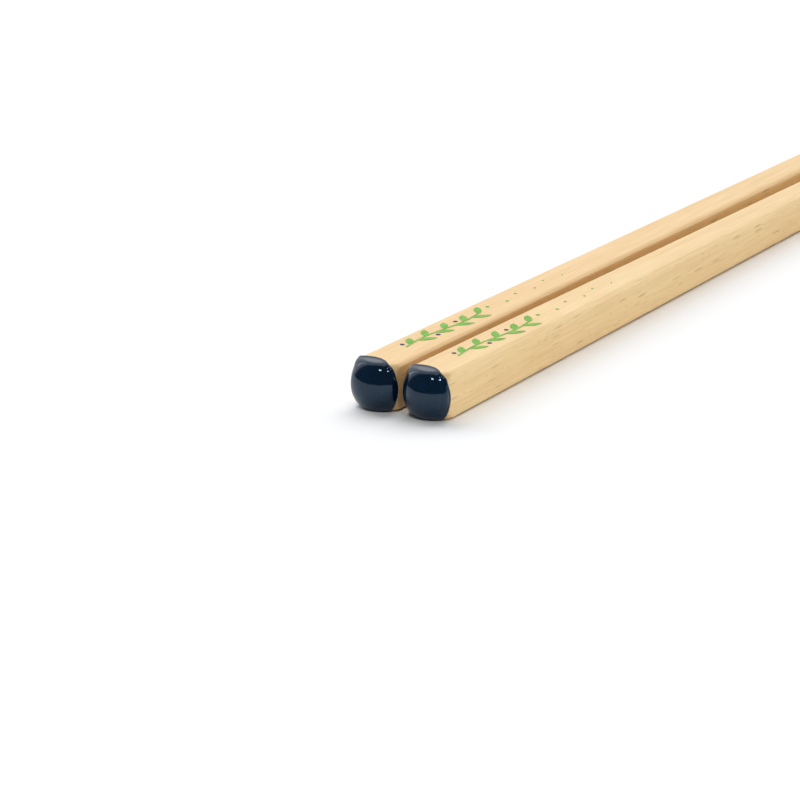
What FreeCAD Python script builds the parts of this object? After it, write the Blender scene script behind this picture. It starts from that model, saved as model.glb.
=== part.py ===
"""A pair of wooden chopsticks with lacquered butt ends, lying side by side.

Each stick is square with eased corners, tapers straight to its tip, and is
rounded at the butt end as if by a ball.  A skin of lacquer covers the rounded
end, and a small printed sprig lies on the top face behind it.

X runs from the butt ends to the tips, Y from the near stick to the far one,
and Z up.  The origin is at the middle of the pair, on the surface they lie on.
"""
import FreeCAD, Part
import math
import os

# Driving dimensions, in millimetres
stick_length = 225.0
butt_width = 7.5
tip_width = 4.2
butt_corner_radius = 0.7
tip_corner_radius = 1.2
tip_edge_round = 0.8
end_edge_round = 1.2
gap_at_butts = 1.65
gap_at_tips = 3.5

lacquer_thickness = 0.12
dip_depth = 4.4
dip_ball_radius = 5.74
dip_across = 1.3
dip_drop = 0.2

print_thickness = 0.05
sprig_start = 12.0
sprig_length = 23.0
sprig_rise = 0.5
stem_width = 0.34
leaf_length = 3.4
leaf_width = 1.25
leaf_angle = 34.0
berry_diameter = 0.75
berry_offset = 1.1
berry_lead = 0.75
seed_start = 38.0
seed_spacing = 4.4
seed_diameter = 0.62
seed_shrink = 0.07

leaf_count = 9
leaves_to_a_berry = 3
seed_count = 6

# Shares and steps that shape the curves
first_leaf_share = 0.6
leaf_belly_share = 0.45
fullest_corner_share = 0.985
stem_steps = 12
ball_angles = range(2, 90, 6)
sleeve_share = 1.5
touching = 0.01

# What follows from them
butt_half = butt_width / 2
tip_half = tip_width / 2
corner_share = math.sqrt(2) - 1
end_ball_radius = butt_half * math.sqrt(2) - butt_corner_radius * corner_share
taper_angle = math.degrees(math.atan((butt_half - tip_half) / stick_length))
dip_middle = dip_depth - math.sqrt(dip_ball_radius ** 2 - (butt_half + dip_drop) ** 2)
rest_start = dip_middle + math.sqrt(dip_ball_radius ** 2 - (butt_half - dip_drop) ** 2)
rest_end = stick_length - tip_edge_round
tip_start = stick_length - 2 * tip_edge_round
rest_angle = math.degrees(math.atan(lacquer_thickness / (rest_end - rest_start)))
butt_spacing = butt_width + gap_at_butts
tip_spacing = tip_width + gap_at_tips
toe_angle = math.degrees(math.atan((butt_spacing - tip_spacing) / 2 / stick_length))

ALONG = FreeCAD.Vector(1, 0, 0)
ACROSS = FreeCAD.Vector(0, 1, 0)
UP = FreeCAD.Vector(0, 0, 1)
START = FreeCAD.Vector(0, 0, 0)


def rounded_square(x, half, radius):
    """A rounded square across the stick at x, as one closed wire."""
    flat = half - radius
    middle = flat + radius * math.sqrt(0.5)
    edges = []
    for quarter in range(4):
        turn = FreeCAD.Rotation(ALONG, 90 * quarter)
        following = FreeCAD.Rotation(ALONG, 90 * (quarter + 1))
        first = turn.multVec(FreeCAD.Vector(x, half, flat))
        top = turn.multVec(FreeCAD.Vector(x, middle, middle))
        last = turn.multVec(FreeCAD.Vector(x, flat, half))
        beyond = following.multVec(FreeCAD.Vector(x, half, flat))
        edges.append(Part.Arc(first, top, last).toShape())
        edges.append(Part.LineSegment(last, beyond).toShape())
    return Part.Wire(edges)


def shaft_half(x):
    """Half the stick's width at x."""
    return butt_half + (tip_half - butt_half) * x / stick_length


def shaft_corner(x):
    """The corner radius at x."""
    return butt_corner_radius + (tip_corner_radius - butt_corner_radius) * x / stick_length


def end_half(depth, half, ball):
    """Half the width at a depth behind the end: the ball, an eased edge, then the flat side."""
    reach = math.sqrt(ball ** 2 - (ball - depth) ** 2)
    ease = end_edge_round
    ease_centre = ball - math.sqrt((ball - ease) ** 2 - (half - ease) ** 2)
    ease_start = ball - ball * (ball - ease_centre) / (ball - ease)
    if depth <= ease_start:
        return reach
    if depth >= ease_centre:
        return half
    return half - ease + math.sqrt(ease ** 2 - (depth - ease_centre) ** 2)


def end_section(depth, skin):
    """The rounded end's section at a depth, with a skin of the given thickness around it."""
    x = depth - skin
    ball = end_ball_radius + skin
    reach = math.sqrt(ball ** 2 - (ball - depth) ** 2)
    half = end_half(depth, shaft_half(x) + skin, ball)
    radius = (half * math.sqrt(2) - reach) / corner_share
    radius = max(radius, shaft_corner(x) + skin)
    return rounded_square(x, half, min(radius, fullest_corner_share * half))


def rounded_end(skin):
    """The end from its tip back to where the plain shaft starts."""
    ball = end_ball_radius + skin
    sections = []
    for angle in ball_angles:
        depth = ball * (1 - math.cos(math.radians(angle)))
        sections.append(end_section(depth, skin))
    join = end_ball_radius
    sections.append(rounded_square(join, shaft_half(join) + skin, shaft_corner(join) + skin))
    return Part.makeLoft(sections, True, False)


def shaft_section(x):
    """The plain shaft's section at x."""
    return rounded_square(x, shaft_half(x), shaft_corner(x))


def shaft():
    """The tapered shaft: four flat sides between four eased corners."""
    first = shaft_section(end_ball_radius)
    last = shaft_section(tip_start)
    faces = [Part.Face(first), Part.Face(last)]
    for near, far in zip(first.OrderedEdges, last.OrderedEdges):
        if near.Curve.TypeId == "Part::GeomCircle":
            faces.append(Part.makeRuledSurface(near, far))
        else:
            near_points = [near.firstVertex(True).Point, near.lastVertex(True).Point]
            far_points = [far.lastVertex(True).Point, far.firstVertex(True).Point]
            points = near_points + far_points
            faces.append(Part.Face(Part.makePolygon(points + points[:1])))
    shell = Part.Shell(faces)
    shell.sewShape()
    return Part.Solid(shell)


def tip():
    """The last of the shaft, with the edges of its end rounded over."""
    body = Part.makeLoft([shaft_section(tip_start), shaft_section(stick_length)], True, True)
    end_edges = [edge for edge in body.Edges if edge.BoundBox.XMin > stick_length - touching]
    return body.makeFillet(tip_edge_round, end_edges).Solids[0]


def stick():
    """One stick, its butt end at x = 0 and its middle line on the X axis."""
    return rounded_end(0).multiFuse([shaft(), tip()]).Solids[0]


def coated_section(x):
    """The plain shaft's section at x with the lacquer round it."""
    return rounded_square(x, shaft_half(x) + lacquer_thickness, shaft_corner(x) + lacquer_thickness)


def lacquer(wood):
    """The skin on the rounded end, which reaches furthest along the underside and the left side."""
    sleeve_end = end_ball_radius * sleeve_share
    sleeve = Part.makeLoft([coated_section(end_ball_radius), coated_section(sleeve_end)], True, True)
    coat = rounded_end(lacquer_thickness).fuse(sleeve)
    dip = Part.makeSphere(dip_ball_radius, FreeCAD.Vector(dip_middle, dip_across, -dip_drop))
    return coat.common(dip).cut(wood).Solids[0]


def printed(outline):
    """A thin film of ink with the given outline, on the plane z = 0."""
    return Part.Face(outline).extrude(UP * print_thickness)


def on_top_face(film):
    """The film moved from the plane z = 0 up to the stick's sloping top face."""
    film.rotate(START, ACROSS, taper_angle)
    film.translate(UP * butt_half)
    return film


def stem_height(x):
    """How far the stem stands from the middle of the face at x."""
    share = (x - sprig_start) / sprig_length
    return sprig_rise * math.sin(2 * math.pi * share)


def spot(x, y, diameter):
    """A round spot of ink."""
    circle = Part.makeCircle(diameter / 2, FreeCAD.Vector(x, y, 0))
    return printed(Part.Wire(circle))


def leaf(x, side):
    """A pointed leaf that leaves the stem at x towards one side."""
    point = FreeCAD.Vector(leaf_length, 0, 0)
    belly = leaf_length * leaf_belly_share
    upper = Part.Arc(START, FreeCAD.Vector(belly, leaf_width / 2, 0), point)
    lower = Part.Arc(point, FreeCAD.Vector(belly, -leaf_width / 2, 0), START)
    blade = printed(Part.Wire([upper.toShape(), lower.toShape()]))
    blade.rotate(START, UP, side * leaf_angle)
    blade.translate(FreeCAD.Vector(x, stem_height(x), 0))
    return blade


def stem():
    """The wavy stem, a ribbon between two smooth curves."""
    middle = [sprig_start + sprig_length * step / stem_steps for step in range(stem_steps + 1)]
    upper = [FreeCAD.Vector(x, stem_height(x) + stem_width / 2, 0) for x in middle]
    lower = [FreeCAD.Vector(x, stem_height(x) - stem_width / 2, 0) for x in reversed(middle)]
    edges = []
    for points in (upper, lower):
        curve = Part.BSplineCurve()
        curve.interpolate(points)
        edges.append(curve.toShape())
    edges.append(Part.LineSegment(upper[-1], lower[0]).toShape())
    edges.append(Part.LineSegment(lower[-1], upper[0]).toShape())
    return printed(Part.Wire(Part.sortEdges(edges)[0]))


def leaf_foot(index):
    """Where along the stick the leaf with this number leaves the stem."""
    return sprig_start + sprig_length * (index + first_leaf_share) / leaf_count


def leaf_side(index):
    """The side that the leaf points to, left (1) and right (-1) by turns."""
    return 1 if index % 2 == 0 else -1


def berries():
    """The round berries, each just in front of its leaf's foot."""
    spots = []
    for index in range(0, leaf_count, leaves_to_a_berry):
        x = leaf_foot(index) - berry_lead
        y = stem_height(x) + leaf_side(index) * berry_offset
        spots.append(spot(x, y, berry_diameter))
    return Part.Compound(spots)


def leaf_print():
    """The green sprig and the row of seeds that trails off behind it."""
    leaves = [leaf(leaf_foot(index), leaf_side(index)) for index in range(leaf_count)]
    sprig = stem().multiFuse(leaves).cut(berries())
    solids = list(sprig.Solids)
    for index in range(seed_count):
        x = seed_start + seed_spacing * index
        y = sprig_rise * math.cos(math.pi * index)
        solids.append(spot(x, y, seed_diameter - seed_shrink * index))
    return on_top_face(Part.Compound(solids))


def berry_print():
    """The dark berries, on the top face."""
    return on_top_face(berries())


def laid_down(shape, side):
    """The shape turned to lie on the table, on the left (1) or the right (-1) of the pair."""
    placed = shape.copy()
    placed.rotate(START, ACROSS, taper_angle + rest_angle)
    placed.rotate(START, UP, -side * toe_angle)
    placed.translate(ACROSS * side * butt_spacing / 2)
    return placed


def main():
    """Builds every piece, centres the pair on its origin and writes one file for each piece."""
    wood = stick()
    pieces = {
        "stick": wood,
        "lacquer_end": lacquer(wood),
        "leaf_print": leaf_print(),
        "berry_print": berry_print(),
    }
    placed = {}
    for name, shape in pieces.items():
        placed[name + "_left"] = laid_down(shape, 1)
        placed[name + "_right"] = laid_down(shape, -1)
    box = Part.Compound(list(placed.values())).optimalBoundingBox(False)
    middle = FreeCAD.Vector(-box.Center.x, -box.Center.y, -box.ZMin)
    os.makedirs("parts", exist_ok=True)
    for name, shape in placed.items():
        shape.translate(middle)
        shape.exportStep("parts/" + name + ".step")


main()
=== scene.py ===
"""A pair of wooden chopsticks with navy lacquered ends, lying on a white table.

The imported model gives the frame.  The sticks and their lacquer are modelled
again here with smooth surfaces, and the printed sprigs keep their own meshes.
Everything is in metres, X along the sticks from the butt ends and Z up.
"""
import math

import bmesh
import bpy
from bpy.props import FloatProperty, FloatVectorProperty, IntProperty, PointerProperty
from mathutils import Matrix, Vector, noise


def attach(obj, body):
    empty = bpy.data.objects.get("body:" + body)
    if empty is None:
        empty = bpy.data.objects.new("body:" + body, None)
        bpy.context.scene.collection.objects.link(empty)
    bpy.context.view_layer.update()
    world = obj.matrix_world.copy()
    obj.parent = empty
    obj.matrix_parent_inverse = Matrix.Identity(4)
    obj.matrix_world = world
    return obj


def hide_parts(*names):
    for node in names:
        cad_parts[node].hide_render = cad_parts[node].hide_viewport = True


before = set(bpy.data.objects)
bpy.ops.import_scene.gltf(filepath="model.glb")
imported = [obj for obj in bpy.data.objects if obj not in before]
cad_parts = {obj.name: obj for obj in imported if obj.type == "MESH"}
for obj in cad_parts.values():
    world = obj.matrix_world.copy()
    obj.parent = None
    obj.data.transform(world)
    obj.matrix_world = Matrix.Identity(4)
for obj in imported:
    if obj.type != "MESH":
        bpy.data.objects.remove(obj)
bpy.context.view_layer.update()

bl_info = {
    "name": "Lacquered chopsticks",
    "version": (1, 0, 0),
    "blender": (4, 5, 0),
    "location": "3D View > Sidebar > Chopsticks",
    "description": "Models a pair of wooden chopsticks with lacquered ends and a printed sprig",
    "category": "Object",
}

SIDES = {"left": 1, "right": -1}

# By this share of its radius a rounded corner falls short of a sharp one
corner_share = math.sqrt(2) - 1
# The largest corner radius as a share of half the width
fullest_corner_share = 0.985

# How finely the meshes are drawn: steps round a quarter, rings along the shaft, angles in degrees
flat_steps = 5
corner_steps = 8
shaft_rings = 12
first_end_angle = 2
end_angles = range(5, 90, 3)
tip_angles = range(15, 91, 15)
lip_angles = (25, 50, 70, 90)
lacquer_angle = 56
first_ring_share = 0.35
shading_weight = 60

# Between these two depths the lacquer's edge is searched by halving, and then it strays a little
edge_between = (0.001, 0.0075)
edge_halvings = 30
edge_waves = 1.6
edge_seed = 3.1
# The bead rises over the last share of the skin, and fades out where the skin lies on the table
bead_start = 0.86
bead_over_table = 0.85

# Scales of the patterns in the wood, the ink and the lacquer, along the stick and across it
band_scale = (9, 380, 380)
patch_scale = (55, 260, 260)
fibre_scale = (120, 5200, 5200)
dash_scale = (150, 110, 1500)
speck_scale = (420, 300, 3000)
thin_ink_scale = (260, 5200, 5200)
ink_tone_scale = (500, 900, 900)
lacquer_depth_scale = (420, 420, 420)
lacquer_wave_scale = (700, 700, 700)
smudge_scale = (900, 700, 800)
table_tone_scale = (9, 9, 9)

# How strongly each pattern in the wood shows
band_strength = 0.55
patch_strength = 0.3
fibre_strength = 0.3
speck_strength = 0.3
dash_strength = 0.5
wood_through_ink = 0.3
left_wood_tint = (1.0, 0.96, 0.95)

# Gloss of each surface, with the range of its roughness where that varies
wood_specular = 0.22
wood_roughness = (0.38, 0.5)
lacquer_specular = 0.55
lacquer_tint = (0.62, 0.82, 1.0, 1.0)
lacquer_roughness = (0.05, 0.13)
ink_specular = 0.12
ink_roughness = (0.45, 0.6)
table_specular = 0.1
table_roughness = 0.9

# Each light's heading and height over the table in degrees, its distance, and its two sides
LIGHTS = {
    "lamp_a": (-167, 54, 1.0, 0.15, 0.12),
    "lamp_b": (-134, 45, 1.0, 0.12, 0.11),
    "strip_light": (84, 32, 1.3, 0.12, 0.75),
}

# Where the lights stand round, what they face, and where the bright parts of the room are
butt_ends = Vector((-0.108, 0, 0.004))
lit_place = Vector((-0.05, 0, 0))
screen_aim = (0.70, 0.51, 0.50)
window_aim = (0.77, -0.64, 0)
upwards_aim = (0, 0, 1)
wall_colour = (0.95, 0.97, 1.0, 1.0)
table_drop = 0.00001
film_width = 36.0


class StickSizes(bpy.types.PropertyGroup):
    """Sizes of one wooden stick and how it lies."""

    length: FloatProperty(
        name="Length", description="From the butt end to the tip", default=0.225, unit="LENGTH"
    )
    butt_width: FloatProperty(
        name="Butt width", description="Across the flats at the butt end", default=0.0075, unit="LENGTH"
    )
    tip_width: FloatProperty(
        name="Tip width", description="Across the flats at the tip", default=0.0042, unit="LENGTH"
    )
    butt_corner: FloatProperty(
        name="Butt corner",
        description="Radius of the long edges at the butt",
        default=0.0007,
        unit="LENGTH",
    )
    tip_corner: FloatProperty(
        name="Tip corner", description="Radius of the long edges at the tip", default=0.0012, unit="LENGTH"
    )
    end_ball: FloatProperty(
        name="End ball",
        description="Radius of the ball that rounds the butt end",
        default=0.0051,
        unit="LENGTH",
    )
    end_fullness: FloatProperty(
        name="End fullness",
        description="How much larger the ball's radius is on top",
        default=0.0005,
        unit="LENGTH",
    )
    end_ease: FloatProperty(
        name="End edge",
        description="Radius where the ball end meets the flats",
        default=0.0012,
        unit="LENGTH",
    )
    corner_ease: FloatProperty(
        name="End corner", description="Radius where it meets the long edges", default=0.0022, unit="LENGTH"
    )
    tip_round: FloatProperty(
        name="Tip edge", description="Radius of the edge round the tip", default=0.0008, unit="LENGTH"
    )
    pitch: FloatProperty(
        name="Pitch",
        description="How far the middle line dips to the tip",
        default=0.0078774,
        subtype="ANGLE",
    )
    toe: FloatProperty(
        name="Toe-in",
        description="How far each stick turns towards the other",
        default=0.0032218,
        subtype="ANGLE",
    )
    butt_middle: FloatVectorProperty(
        name="Butt middle",
        description="Middle of the left stick's butt end",
        default=(-0.1124435, 0.004575, 0.0038732),
        subtype="TRANSLATION",
        unit="LENGTH",
    )


class LacquerSizes(bpy.types.PropertyGroup):
    """Sizes of the lacquer on a butt end."""

    thickness: FloatProperty(
        name="Thickness", description="Of the skin on the ball end", default=0.00012, unit="LENGTH"
    )
    dip_depth: FloatProperty(
        name="Dip depth", description="How far it reaches along the top face", default=0.0044, unit="LENGTH"
    )
    dip_ball: FloatProperty(
        name="Dip ball",
        description="Radius of the ball that shapes its edge",
        default=0.00574,
        unit="LENGTH",
    )
    dip_across: FloatProperty(
        name="Dip across",
        description="How far the dip leans to the far side",
        default=0.0013,
        unit="LENGTH",
    )
    dip_drop: FloatProperty(
        name="Dip drop", description="How far the dip leans down", default=0.0002, unit="LENGTH"
    )
    bead: FloatProperty(
        name="Bead",
        description="How much thicker the skin is along its edge",
        default=0.00012,
        unit="LENGTH",
    )
    wander: FloatProperty(
        name="Wander",
        description="How far the edge strays from a clean line",
        default=0.00016,
        unit="LENGTH",
    )
    rings: IntProperty(
        name="Rings", description="Rings of faces from the middle to the edge", default=30, min=6
    )


class Finishes(bpy.types.PropertyGroup):
    """Colours of the pieces and the table."""

    wood_pale: FloatVectorProperty(
        name="Pale wood",
        description="Between the growth lines",
        default=(0.88, 0.65, 0.325),
        subtype="COLOR",
    )
    wood_warm: FloatVectorProperty(
        name="Warm wood", description="Along the growth lines", default=(0.80, 0.50, 0.215), subtype="COLOR"
    )
    wood_fleck: FloatVectorProperty(
        name="Flecks", description="Of the short dark flecks", default=(0.40, 0.16, 0.04), subtype="COLOR"
    )
    lacquer: FloatVectorProperty(
        name="Lacquer", description="Of the dipped ends", default=(0.0006, 0.010, 0.029), subtype="COLOR"
    )
    leaf_ink: FloatVectorProperty(
        name="Leaf ink", description="Of the printed sprig", default=(0.16, 0.44, 0.035), subtype="COLOR"
    )
    berry_ink: FloatVectorProperty(
        name="Berry ink", description="Of the printed berries", default=(0.02, 0.035, 0.10), subtype="COLOR"
    )
    table: FloatVectorProperty(
        name="Table", description="Of the table top", default=(0.93, 0.93, 0.925), subtype="COLOR"
    )


class StageSizes(bpy.types.PropertyGroup):
    """Where the camera stands and how strong the lights are."""

    camera_place: FloatVectorProperty(
        name="Camera",
        description="Where the camera stands",
        default=(-1.23954, -0.64670, 0.40516),
        subtype="TRANSLATION",
        unit="LENGTH",
    )
    heading: FloatProperty(
        name="Heading",
        description="Camera's heading from the X axis",
        default=math.radians(29.8),
        subtype="ANGLE",
    )
    dip: FloatProperty(
        name="Dip", description="How far the camera looks down", default=math.radians(17.2), subtype="ANGLE"
    )
    lens: FloatProperty(name="Lens", description="Focal length in millimetres", default=405.0)
    table_size: FloatProperty(name="Table size", description="Along each side", default=24.0, unit="LENGTH")
    lamps: FloatProperty(name="Lamps", description="Power of each small lamp in watts", default=1.35)
    strip: FloatProperty(name="Strip light", description="Its power in watts", default=0.6)
    room: FloatProperty(name="Room", description="How bright the near walls are", default=0.12)
    screen: FloatProperty(
        name="White screen", description="How bright the screen behind the table is", default=2.62
    )
    window: FloatProperty(
        name="Window", description="How bright the low window on the right is", default=6.2
    )


def folded(angle):
    """The direction's larger and smaller share of a square's two axes."""
    shares = sorted((abs(math.cos(angle)), abs(math.sin(angle))))
    return shares[1], shares[0]


def square_reach(angle, half, corner):
    """How far a rounded square reaches from its middle in one direction."""
    major, minor = folded(angle)
    flat = half - corner
    if half / major * minor <= flat:
        return half / major
    along = flat * (major + minor)
    return along + math.sqrt(along ** 2 - 2 * flat ** 2 + corner ** 2)


class Stick:
    """The surface of one stick along its own X axis, from its sizes."""

    def __init__(self, sizes):
        self.sizes = sizes
        self.butt_half = sizes.butt_width / 2
        self.tip_half = sizes.tip_width / 2
        self.diagonal = self.butt_half * math.sqrt(2) - sizes.butt_corner * corner_share

    def half(self, x):
        """Half the width of the plain shaft at x."""
        return self.butt_half + (self.tip_half - self.butt_half) * x / self.sizes.length

    def corner(self, x):
        """The radius of the long edges at x."""
        growth = self.sizes.tip_corner - self.sizes.butt_corner
        return self.sizes.butt_corner + growth * x / self.sizes.length

    def rounded_over(self, depth, half, ball, ease):
        """How wide a rounded end is at a depth: the ball, an eased edge, then the straight side."""
        ease_centre = ball - math.sqrt((ball - ease) ** 2 - (half - ease) ** 2)
        ease_start = ball - ball * (ball - ease_centre) / (ball - ease)
        if depth <= ease_start:
            return math.sqrt(ball ** 2 - (ball - depth) ** 2)
        if depth >= ease_centre:
            return half
        return half - ease + math.sqrt(ease ** 2 - (depth - ease_centre) ** 2)

    def end_reach(self, depth, angle, skin):
        """How far the rounded end reaches from its middle line, with a skin round it."""
        x = depth - skin
        upwards = (1 + math.sin(angle)) / 2
        ball = self.sizes.end_ball + self.sizes.end_fullness * upwards ** 2 + skin
        reach = self.rounded_over(depth, self.diagonal + skin, ball, self.sizes.corner_ease)
        half = self.rounded_over(depth, self.half(x) + skin, ball, self.sizes.end_ease)
        corner = max((half * math.sqrt(2) - reach) / corner_share, self.corner(x) + skin)
        return square_reach(angle, half, min(corner, fullest_corner_share * half))


def across(x, angle, reach):
    """The point at a distance from the X axis."""
    return Vector((x, reach * math.cos(angle), reach * math.sin(angle)))


def first_ring(bm, stick):
    """A small disc at the butt end, its points close together where the corners will be."""
    start = across_directions(stick)
    made = bmesh.ops.create_circle(bm, cap_ends=True, cap_tris=True, segments=len(start), radius=1.0)
    rim = sorted((v for v in made["verts"] if v.co.length > 0.5), key=lambda v: math.atan2(v.co.y, v.co.x))
    for point, angle in zip(rim, sorted(start)):
        point.co = across(0, angle, 1.0)
    return rim, [e for e in bm.edges if all(v in rim for v in e.verts)]


def across_directions(stick):
    """Directions round the stick: evenly over the flats, closer over the corners."""
    corner_angle = math.atan2(stick.butt_half - stick.sizes.butt_corner, stick.butt_half)
    flats = [corner_angle * step / flat_steps for step in range(-flat_steps, flat_steps + 1)]
    left_over = math.pi / 2 - 2 * corner_angle
    corners = [corner_angle + left_over * step / corner_steps for step in range(1, corner_steps)]
    quarter = flats + corners
    turned = [angle + math.pi / 2 * turn for turn in range(4) for angle in quarter]
    return [math.remainder(angle, 2 * math.pi) for angle in turned]


def direction(point):
    """The direction of a point round the X axis."""
    return math.atan2(point.co.z, point.co.y)


def draw_on(bm, edges, place):
    """Extrudes a ring of edges and puts each new point where place says for its direction."""
    made = bmesh.ops.extrude_edge_only(bm, edges=edges)["geom"]
    points = [item for item in made if isinstance(item, bmesh.types.BMVert)]
    known = set(points)
    for point in points:
        point.co = place(direction(point))
    return [item for item in made if isinstance(item, bmesh.types.BMEdge) and known.issuperset(item.verts)]


def close_ring(bm, edges):
    """Closes a ring with a fan of triangles round its middle."""
    made = bmesh.ops.edgeloop_fill(bm, edges=edges)
    bmesh.ops.poke(bm, faces=made["faces"])


def laid_down(sizes, side):
    """Turns a stick from its own axis to where it lies on the table."""
    start = Vector(sizes.butt_middle)
    start.y *= side
    turn = Matrix.Rotation(-side * sizes.toe, 4, "Z") @ Matrix.Rotation(sizes.pitch, 4, "Y")
    return Matrix.Translation(start) @ turn


def finished_piece(bm, name, matrix, finish, node):
    """Makes the bmesh an object that stands for a node of the frame."""
    bmesh.ops.transform(bm, matrix=matrix, verts=bm.verts)
    bmesh.ops.recalc_face_normals(bm, faces=bm.faces)
    mesh = bpy.data.meshes.new(name)
    bm.to_mesh(mesh)
    bm.free()
    mesh.shade_smooth()
    mesh.materials.append(finish)
    piece = bpy.data.objects.new(name, mesh)
    bpy.context.scene.collection.objects.link(piece)
    even = piece.modifiers.new("Even shading", "WEIGHTED_NORMAL")
    even.weight = shading_weight
    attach(piece, "root")
    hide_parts(node)


def stick_mesh(sizes):
    """One stick along its own X axis: ball end, tapered shaft and rounded tip."""
    stick = Stick(sizes)
    bm = bmesh.new()
    rim, edges = first_ring(bm, stick)
    ball = sizes.end_ball
    first_depth = ball * (1 - math.cos(math.radians(first_end_angle)))
    for point in rim:
        angle = direction(point)
        point.co = across(first_depth, angle, stick.end_reach(first_depth, angle, 0))
    for degrees in end_angles:
        depth = ball * (1 - math.cos(math.radians(degrees)))
        edges = draw_on(bm, edges, lambda a: across(depth, a, stick.end_reach(depth, a, 0)))
    shaft_end = sizes.length - sizes.tip_round
    for step in range(shaft_rings + 1):
        x = ball + (shaft_end - ball) * step / shaft_rings
        half, corner = stick.half(x), stick.corner(x)
        edges = draw_on(bm, edges, lambda a: across(x, a, square_reach(a, half, corner)))
    for degrees in tip_angles:
        x = shaft_end + sizes.tip_round * math.sin(math.radians(degrees))
        inward = sizes.tip_round * (1 - math.cos(math.radians(degrees)))
        half, corner = stick.half(x) - inward, stick.corner(x) - inward
        edges = draw_on(bm, edges, lambda a: across(x, a, square_reach(a, half, corner)))
    close_ring(bm, edges)
    side_face = bm.verts.layers.float.new("side_face")
    for point in bm.verts:
        aside, up = abs(point.co.y), abs(point.co.z)
        if aside + up > 0:
            point[side_face] = aside / (aside + up)
    return bm


def lacquer_edge(stick, sizes, angle, seed):
    """How deep the lacquer reaches in one direction, where the skin meets the ball of the dip."""
    above = stick.butt_half + sizes.dip_drop
    behind = sizes.dip_depth - math.sqrt(sizes.dip_ball ** 2 - above ** 2)
    middle = Vector((behind, sizes.dip_across, -sizes.dip_drop))
    shallow, deep = edge_between
    for _ in range(edge_halvings):
        depth = (shallow + deep) / 2
        point = across(depth - sizes.thickness, angle, stick.end_reach(depth, angle, sizes.thickness))
        if (point - middle).length < sizes.dip_ball:
            shallow = depth
        else:
            deep = depth
    stray = noise.noise(Vector((math.cos(angle) * edge_waves, math.sin(angle) * edge_waves, seed)))
    return depth + sizes.wander * stray


def lacquer_mesh(stick, sizes, seed):
    """The skin of lacquer on a ball end, thicker along its rounded edge, closed on the inside."""
    edge_depth = {}

    def edge_at(angle):
        """The edge's depth in one direction, worked out once."""
        key = round(angle, 5)
        if key not in edge_depth:
            edge_depth[key] = lacquer_edge(stick, sizes, angle, seed)
        return edge_depth[key]

    def skin_at(angle, share):
        """How thick the skin is at a share of the way to its edge."""
        rise = max(0.0, (share - bead_start) / (1 - bead_start))
        above_table = min(1.0, max(0.0, math.sin(angle) + bead_over_table))
        return sizes.thickness + sizes.bead * above_table * rise * rise * (3 - 2 * rise)

    def placed(angle, share, skin, further=0.0):
        """The point at a share of the way to the edge, with a skin under it."""
        depth = edge_at(angle) * share + further
        return across(depth - skin, angle, stick.end_reach(depth, angle, skin))

    widest = math.radians(lacquer_angle)
    last = sizes.rings + first_ring_share
    angles = [widest * (step + first_ring_share) / last for step in range(sizes.rings + 1)]
    shares = [(1 - math.cos(angle)) / (1 - math.cos(widest)) for angle in angles]
    bm = bmesh.new()
    rim, edges = first_ring(bm, stick)
    for point in bm.verts:
        point.co.x -= sizes.thickness
    for point in rim:
        angle = direction(point)
        point.co = placed(angle, shares[0], sizes.thickness)
    for share in shares[1:]:
        edges = draw_on(bm, edges, lambda a: placed(a, share, skin_at(a, share)))
    for degrees in lip_angles:
        fall = math.cos(math.radians(degrees))
        out = math.sin(math.radians(degrees))
        edges = draw_on(bm, edges, lambda a: placed(a, 1.0, skin_at(a, 1.0) * fall, skin_at(a, 1.0) * out))
    for share in reversed(shares):
        edges = draw_on(bm, edges, lambda a: placed(a, share, 0.0))
    close_ring(bm, edges)
    return bm


def new_finish(name):
    """A node material and its shader."""
    finish = bpy.data.materials.new(name)
    finish.use_nodes = True
    return finish, finish.node_tree, finish.node_tree.nodes["Principled BSDF"]


def feed(tree, socket, value):
    """Links another node's output to a socket, or sets a plain value on it."""
    if isinstance(value, bpy.types.NodeSocket):
        tree.links.new(value, socket)
    else:
        socket.default_value = value


def stretched(tree, scale):
    """Object coordinates drawn out along the sticks."""
    place = tree.nodes.new("ShaderNodeTexCoord")
    mapping = tree.nodes.new("ShaderNodeMapping")
    mapping.inputs["Scale"].default_value = scale
    tree.links.new(place.outputs["Object"], mapping.inputs["Vector"])
    return mapping.outputs["Vector"]


def cloud(tree, where, detail, distortion=0.0):
    """A noise pattern."""
    made = tree.nodes.new("ShaderNodeTexNoise")
    tree.links.new(where, made.inputs["Vector"])
    made.inputs["Scale"].default_value = 1.0
    made.inputs["Detail"].default_value = detail
    made.inputs["Distortion"].default_value = distortion
    return made.outputs["Fac"]


def spread(tree, value, low, high, to_low=0.0, to_high=1.0):
    """The value drawn out from one range to another, with soft ends."""
    made = tree.nodes.new("ShaderNodeMapRange")
    made.interpolation_type = "SMOOTHSTEP"
    feed(tree, made.inputs["Value"], value)
    for name, number in (("From Min", low), ("From Max", high), ("To Min", to_low), ("To Max", to_high)):
        made.inputs[name].default_value = number
    return made.outputs["Result"]


def times(tree, first, second):
    """Two values multiplied."""
    made = tree.nodes.new("ShaderNodeMath")
    made.operation = "MULTIPLY"
    feed(tree, made.inputs[0], first)
    feed(tree, made.inputs[1], second)
    return made.outputs[0]


def brightest(tree, first, second):
    """The larger of two values."""
    made = tree.nodes.new("ShaderNodeMath")
    made.operation = "MAXIMUM"
    feed(tree, made.inputs[0], first)
    feed(tree, made.inputs[1], second)
    return made.outputs[0]


def blended(tree, share, first, second):
    """Two colours mixed.  This node's colour sockets come after its number and vector ones."""
    made = tree.nodes.new("ShaderNodeMix")
    made.data_type = "RGBA"
    feed(tree, made.inputs[0], share)
    feed(tree, made.inputs[6], first)
    feed(tree, made.inputs[7], second)
    return made.outputs[2]


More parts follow.
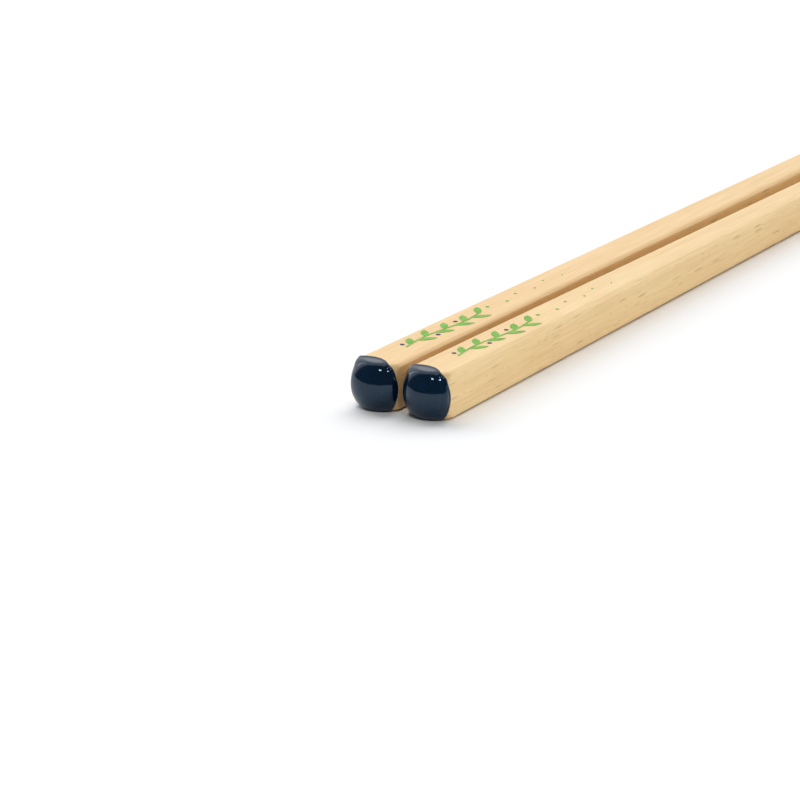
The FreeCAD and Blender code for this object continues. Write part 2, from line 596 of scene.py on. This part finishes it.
def raised(tree, shader, height, strength, distance):
    """Fine relief from a height pattern."""
    made = tree.nodes.new("ShaderNodeBump")
    made.inputs["Strength"].default_value = strength
    made.inputs["Distance"].default_value = distance
    tree.links.new(height, made.inputs["Height"])
    tree.links.new(made.outputs["Normal"], shader.inputs["Normal"])


def opaque(colour, strength=1.0):
    """The colour with full cover, for a shader's socket."""
    return (colour[0] * strength, colour[1] * strength, colour[2] * strength, 1.0)


def wood_finish(name, pale, warm, fleck):
    """Beech-like wood with a low sheen: growth lines, fibres and short dark flecks on the sides."""
    finish, tree, shader = new_finish(name)
    bands = spread(tree, cloud(tree, stretched(tree, band_scale), 3.0, 0.4), 0.32, 0.68)
    patches = spread(tree, cloud(tree, stretched(tree, patch_scale), 2.0), 0.3, 0.75)
    fibres = spread(tree, cloud(tree, stretched(tree, fibre_scale), 3.0), 0.35, 0.7)
    face = tree.nodes.new("ShaderNodeAttribute")
    face.attribute_name = "side_face"
    on_side = spread(tree, face.outputs["Fac"], 0.46, 0.6)
    dashes = times(tree, flecks(tree, dash_scale, 0.12, 0.28), on_side)
    specks = times(tree, flecks(tree, speck_scale, 0.08, 0.3), on_side)
    base = blended(tree, times(tree, bands, band_strength), opaque(pale), opaque(warm))
    base = blended(tree, times(tree, patches, patch_strength), base, opaque(warm, 0.97))
    base = blended(tree, times(tree, fibres, fibre_strength), base, opaque(warm, 0.82))
    base = blended(tree, times(tree, specks, speck_strength), base, opaque(fleck))
    base = blended(tree, times(tree, dashes, dash_strength), base, opaque(fleck))
    tree.links.new(base, shader.inputs["Base Color"])
    shader.inputs["Specular IOR Level"].default_value = wood_specular
    tree.links.new(spread(tree, fibres, 0.0, 1.0, *wood_roughness), shader.inputs["Roughness"])
    raised(tree, shader, fibres, 0.12, 0.00003)
    return finish


def flecks(tree, scale, full, gone):
    """Short dashes along the grain, one in a cell, with many cells left empty."""
    cells = tree.nodes.new("ShaderNodeTexVoronoi")
    tree.links.new(stretched(tree, scale), cells.inputs["Vector"])
    cells.inputs["Scale"].default_value = 1.0
    dash = spread(tree, cells.outputs["Distance"], full, gone, 1.0, 0.0)
    picked = tree.nodes.new("ShaderNodeSeparateColor")
    tree.links.new(cells.outputs["Color"], picked.inputs["Color"])
    return times(tree, dash, spread(tree, picked.outputs["Red"], 0.35, 0.9))


def lacquer_finish(name, colour):
    """Deep glossy lacquer with a faint unevenness and smudges."""
    finish, tree, shader = new_finish(name)
    depth = spread(tree, cloud(tree, stretched(tree, lacquer_depth_scale), 2.0), 0.3, 0.7)
    smudges = spread(tree, cloud(tree, stretched(tree, smudge_scale), 3.0), 0.5, 0.8)
    base = blended(tree, depth, opaque(colour, 0.85), opaque(colour, 1.2))
    tree.links.new(base, shader.inputs["Base Color"])
    shader.inputs["Specular Tint"].default_value = lacquer_tint
    shader.inputs["Specular IOR Level"].default_value = lacquer_specular
    tree.links.new(spread(tree, smudges, 0.0, 1.0, *lacquer_roughness), shader.inputs["Roughness"])
    waves = cloud(tree, stretched(tree, lacquer_wave_scale), 1.0)
    raised(tree, shader, waves, 0.05, 0.00002)
    return finish


def ink_finish(name, colour, wood):
    """A thin print that lets the wood's fibres show through in places."""
    finish, tree, shader = new_finish(name)
    thin = spread(tree, cloud(tree, stretched(tree, thin_ink_scale), 3.0), 0.52, 0.72)
    tone = spread(tree, cloud(tree, stretched(tree, ink_tone_scale), 2.0), 0.3, 0.7)
    base = blended(tree, tone, opaque(colour, 0.88), opaque(colour, 1.1))
    base = blended(tree, times(tree, thin, wood_through_ink), base, opaque(wood))
    tree.links.new(base, shader.inputs["Base Color"])
    shader.inputs["Specular IOR Level"].default_value = ink_specular
    tree.links.new(spread(tree, thin, 0.0, 1.0, *ink_roughness), shader.inputs["Roughness"])
    raised(tree, shader, thin, 0.1, 0.00002)
    return finish


def table_finish(name, colour):
    """A matt white table top."""
    finish, tree, shader = new_finish(name)
    tone = spread(tree, cloud(tree, stretched(tree, table_tone_scale), 3.0), 0.3, 0.7)
    tree.links.new(blended(tree, tone, opaque(colour, 0.995), opaque(colour)), shader.inputs["Base Color"])
    shader.inputs["Roughness"].default_value = table_roughness
    shader.inputs["Specular IOR Level"].default_value = table_specular
    return finish


class CHOPSTICKS_OT_sticks(bpy.types.Operator):
    """Model the two wooden sticks"""

    bl_idname = "chopsticks.sticks"
    bl_label = "Wooden sticks"

    def execute(self, context):
        sizes, finishes = context.scene.stick_sizes, context.scene.finishes
        pinker = [share * tint for share, tint in zip(finishes.wood_pale, left_wood_tint)]
        for name, side in SIDES.items():
            pale = pinker if name == "left" else finishes.wood_pale
            finish = wood_finish("clear_coated_wood_" + name, pale, finishes.wood_warm, finishes.wood_fleck)
            bm = stick_mesh(sizes)
            place = laid_down(sizes, side)
            finished_piece(bm, "wooden_stick_" + name, place, finish, "stick_" + name)
        return {"FINISHED"}


class CHOPSTICKS_OT_lacquer(bpy.types.Operator):
    """Cover the two butt ends with lacquer"""

    bl_idname = "chopsticks.lacquer"
    bl_label = "Lacquered ends"

    def execute(self, context):
        sizes, coat = context.scene.stick_sizes, context.scene.lacquer_sizes
        finish = lacquer_finish("navy_lacquer", context.scene.finishes.lacquer)
        for name, side in SIDES.items():
            bm = lacquer_mesh(Stick(sizes), coat, edge_seed * side)
            place = laid_down(sizes, side)
            finished_piece(bm, "lacquered_end_" + name, place, finish, "lacquer_end_" + name)
        return {"FINISHED"}


class CHOPSTICKS_OT_print(bpy.types.Operator):
    """Ink the printed sprigs and berries"""

    bl_idname = "chopsticks.print"
    bl_label = "Printed sprigs"

    def execute(self, context):
        finishes = context.scene.finishes
        green = ink_finish("green_ink", finishes.leaf_ink, finishes.wood_pale)
        navy = ink_finish("navy_ink", finishes.berry_ink, finishes.wood_pale)
        for node, finish in (("leaf_print_", green), ("berry_print_", navy)):
            for name in SIDES:
                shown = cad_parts[node + name]
                shown.data.materials.clear()
                shown.data.materials.append(finish)
        return {"FINISHED"}


def lamp(name, power):
    """A soft light that faces the sticks."""
    heading, height, distance, *sides = LIGHTS[name]
    place = towards(heading, height, distance)
    light = bpy.data.lights.new(name, "AREA")
    light.shape = "RECTANGLE"
    light.size, light.size_y = sides
    light.energy = power
    holder = bpy.data.objects.new(name, light)
    holder.location = place
    holder.rotation_euler = (lit_place - place).to_track_quat("-Z", "Y").to_euler()
    bpy.context.scene.collection.objects.link(holder)


def towards(heading, height, distance):
    """A place at a heading and height in degrees from the butt ends."""
    flat = math.cos(math.radians(height)) * distance
    turned = math.radians(heading)
    up = math.sin(math.radians(height)) * distance
    place = Vector((flat * math.cos(turned), flat * math.sin(turned), up))
    return place + butt_ends


def facing_share(tree, aim, start, full, *ends):
    """A share that grows with how closely a direction in the room points one way."""
    place = tree.nodes.new("ShaderNodeTexCoord")
    facing = tree.nodes.new("ShaderNodeVectorMath")
    facing.operation = "DOT_PRODUCT"
    facing.inputs[1].default_value = aim
    tree.links.new(place.outputs["Generated"], facing.inputs[0])
    return spread(tree, facing.outputs["Value"], start, full, *ends)


class CHOPSTICKS_OT_stage(bpy.types.Operator):
    """Set the table, the lights and the camera"""

    bl_idname = "chopsticks.stage"
    bl_label = "Table, lights and camera"

    def execute(self, context):
        stage = context.scene.stage_sizes
        bm = bmesh.new()
        bmesh.ops.create_grid(bm, x_segments=1, y_segments=1, size=stage.table_size / 2)
        bmesh.ops.translate(bm, verts=bm.verts, vec=(0, 0, -table_drop))
        mesh = bpy.data.meshes.new("table_top")
        bm.to_mesh(mesh)
        bm.free()
        mesh.materials.append(table_finish("white_table", context.scene.finishes.table))
        table = bpy.data.objects.new("table_top", mesh)
        context.scene.collection.objects.link(table)

        lamp("lamp_a", stage.lamps)
        lamp("lamp_b", stage.lamps)
        lamp("strip_light", stage.strip)
        self.set_room(context.scene, stage)
        self.set_camera(context.scene, stage)
        context.scene.view_settings.view_transform = "Standard"
        return {"FINISHED"}

    def set_room(self, scene, stage):
        """A dim room with a low window and a white screen, which shows in the view and in reflections."""
        world = bpy.data.worlds.new("room")
        world.use_nodes = True
        tree = world.node_tree
        far = facing_share(tree, screen_aim, 0.36, 0.86)
        low_down = facing_share(tree, upwards_aim, 0.08, 0.32, 1.0, 0.0)
        window = times(tree, facing_share(tree, window_aim, 0.70, 0.93), low_down)
        walls = tree.nodes["Background"]
        walls.inputs["Color"].default_value = wall_colour
        lit = brightest(tree, times(tree, far, stage.screen), times(tree, window, stage.window))
        tree.links.new(brightest(tree, lit, stage.room), walls.inputs["Strength"])
        backdrop = tree.nodes.new("ShaderNodeBackground")
        backdrop.inputs["Color"].default_value = (1, 1, 1, 1)
        path = tree.nodes.new("ShaderNodeLightPath")
        mirrored = brightest(tree, path.outputs["Is Glossy Ray"], path.outputs["Is Transmission Ray"])
        shown = brightest(tree, path.outputs["Is Camera Ray"], times(tree, mirrored, far))
        seen = tree.nodes.new("ShaderNodeMixShader")
        tree.links.new(shown, seen.inputs[0])
        tree.links.new(walls.outputs[0], seen.inputs[1])
        tree.links.new(backdrop.outputs[0], seen.inputs[2])
        tree.links.new(seen.outputs[0], tree.nodes["World Output"].inputs["Surface"])
        scene.world = world

    def set_camera(self, scene, stage):
        """A long lens from the butt ends, a little above the table."""
        lens = bpy.data.cameras.new("camera")
        lens.lens = stage.lens
        lens.sensor_width = film_width
        lens.clip_start = 0.01
        lens.clip_end = 50.0
        camera = bpy.data.objects.new("camera", lens)
        camera.location = stage.camera_place
        flat = math.cos(stage.dip)
        along, aside = math.cos(stage.heading) * flat, math.sin(stage.heading) * flat
        ahead = Vector((along, aside, -math.sin(stage.dip)))
        camera.rotation_euler = ahead.to_track_quat("-Z", "Y").to_euler()
        scene.collection.objects.link(camera)
        scene.camera = camera


class CHOPSTICKS_PT_panel(bpy.types.Panel):
    """Lists the steps that model the pair"""

    bl_label = "Chopsticks"
    bl_idname = "CHOPSTICKS_PT_panel"
    bl_space_type = "VIEW_3D"
    bl_region_type = "UI"
    bl_category = "Chopsticks"

    def draw(self, context):
        """A button for each step and a field for each size."""
        for operator in OPERATORS:
            self.layout.operator(operator.bl_idname)
        for name, group in GROUPS.items():
            box = self.layout.box()
            for key in group.__annotations__:
                box.prop(getattr(context.scene, name), key)


GROUPS = {
    "stick_sizes": StickSizes,
    "lacquer_sizes": LacquerSizes,
    "finishes": Finishes,
    "stage_sizes": StageSizes,
}
OPERATORS = (CHOPSTICKS_OT_sticks, CHOPSTICKS_OT_lacquer, CHOPSTICKS_OT_print, CHOPSTICKS_OT_stage)


def register():
    """Adds the sizes, the steps and their panel."""
    for group in GROUPS.values():
        bpy.utils.register_class(group)
    for name, group in GROUPS.items():
        setattr(bpy.types.Scene, name, PointerProperty(type=group))
    for operator in OPERATORS:
        bpy.utils.register_class(operator)
    bpy.utils.register_class(CHOPSTICKS_PT_panel)


def unregister():
    """Takes them away again."""
    bpy.utils.unregister_class(CHOPSTICKS_PT_panel)
    for operator in reversed(OPERATORS):
        bpy.utils.unregister_class(operator)
    for name in GROUPS:
        delattr(bpy.types.Scene, name)
    for group in reversed(list(GROUPS.values())):
        bpy.utils.unregister_class(group)


def main():
    """Models the pair and sets the table, the lights and the camera."""
    register()
    bpy.ops.chopsticks.sticks()
    bpy.ops.chopsticks.lacquer()
    bpy.ops.chopsticks.print()
    bpy.ops.chopsticks.stage()


if __name__ == "__main__":
    main()
